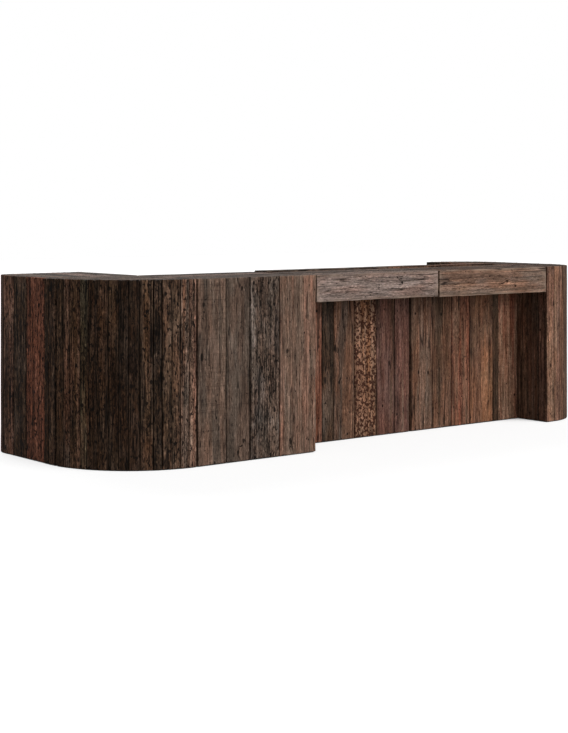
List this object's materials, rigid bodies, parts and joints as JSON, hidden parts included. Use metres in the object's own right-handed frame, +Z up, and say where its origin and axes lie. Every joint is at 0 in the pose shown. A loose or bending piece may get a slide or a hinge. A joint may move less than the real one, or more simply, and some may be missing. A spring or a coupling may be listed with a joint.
{
  "type": "bar counter",
  "caption": "U-shaped bar counter clad in upright reclaimed boards, with a rounded front corner, a recessed front under two long drawers and open shelves at the rear.",
  "frame": {"origin": "on the floor, at the middle of the overall box", "axes": "+X along the counter's length to the guests' right, +Y from the guests' side to the service side, +Z up"},
  "size_m": [3.915, 1.25, 1.058],
  "materials": {
    "reclaimed_timber": "weathered, waxed",
    "bar_top_timber": "worn, sealed",
    "frame_timber": "sawn, stained",
    "carcass_board": "plywood, dark stain",
    "zinc_steel": "zinc plated",
    "nylon": "moulded"
  },
  "bodies": {
    "counter": {"connector_bolts": "zinc_steel", "connector_nuts": "zinc_steel", "corner_panels": "carcass_board", "corner_ribs": "carcass_board", "corner_staves": "reclaimed_timber", "corner_top_boards": "bar_top_timber", "drawer_tracks": "zinc_steel", "end_front_staves": "reclaimed_timber", "end_inner_boards": "reclaimed_timber", "end_outer_boards": "reclaimed_timber", "end_posts": "frame_timber", "end_rear_staves": "reclaimed_timber", "end_ribs": "carcass_board", "end_top_boards": "bar_top_timber", "floor_glides": "nylon", "left_bay_backing": "carcass_board", "left_bay_boards": "reclaimed_timber", "left_bay_dust_sheet": "carcass_board", "left_bay_face_frame": "frame_timber", "left_bay_shelves": "carcass_board", "left_bay_sides": "carcass_board", "left_bay_subtop": "carcass_board", "left_bay_top_boards": "bar_top_timber", "plinth_boards": "frame_timber", "pod_backing": "carcass_board", "pod_face_frame": "frame_timber", "pod_front_boards": "reclaimed_timber", "pod_return_boards": "reclaimed_timber", "pod_shelves": "carcass_board", "pod_sides": "carcass_board", "pod_subtop": "carcass_board", "pod_top_boards": "bar_top_timber", "right_bay_backing": "carcass_board", "right_bay_boards": "reclaimed_timber", "right_bay_dust_sheet": "carcass_board", "right_bay_face_frame": "frame_timber", "right_bay_shelves": "carcass_board", "right_bay_sides": "carcass_board", "right_bay_subtop": "carcass_board", "right_bay_top_boards": "bar_top_timber", "sole_blocks": "frame_timber", "wing_corner_staves": "reclaimed_timber", "wing_face_frame": "frame_timber", "wing_lining": "carcass_board", "wing_partition": "carcass_board", "wing_rear_boards": "reclaimed_timber", "wing_shelves": "carcass_board", "wing_side_boards": "reclaimed_timber", "wing_subtop": "carcass_board", "wing_top_boards": "bar_top_timber"},
    "left_drawer": {"left_drawer_back": "carcass_board", "left_drawer_bottom": "carcass_board", "left_drawer_front": "reclaimed_timber", "left_drawer_rails": "zinc_steel", "left_drawer_sides": "carcass_board"},
    "right_drawer": {"right_drawer_back": "carcass_board", "right_drawer_bottom": "carcass_board", "right_drawer_front": "reclaimed_timber", "right_drawer_rails": "zinc_steel", "right_drawer_sides": "carcass_board"}
  },
  "joints": [
    {"name": "left_drawer_slide", "type": "slide", "parent": "counter", "child": "left_drawer", "axis": [0, -1, 0], "range_m": [0, 0.34]},
    {"name": "right_drawer_slide", "type": "slide", "parent": "counter", "child": "right_drawer", "axis": [0, -1, 0], "range_m": [0, 0.34]}
  ]
}
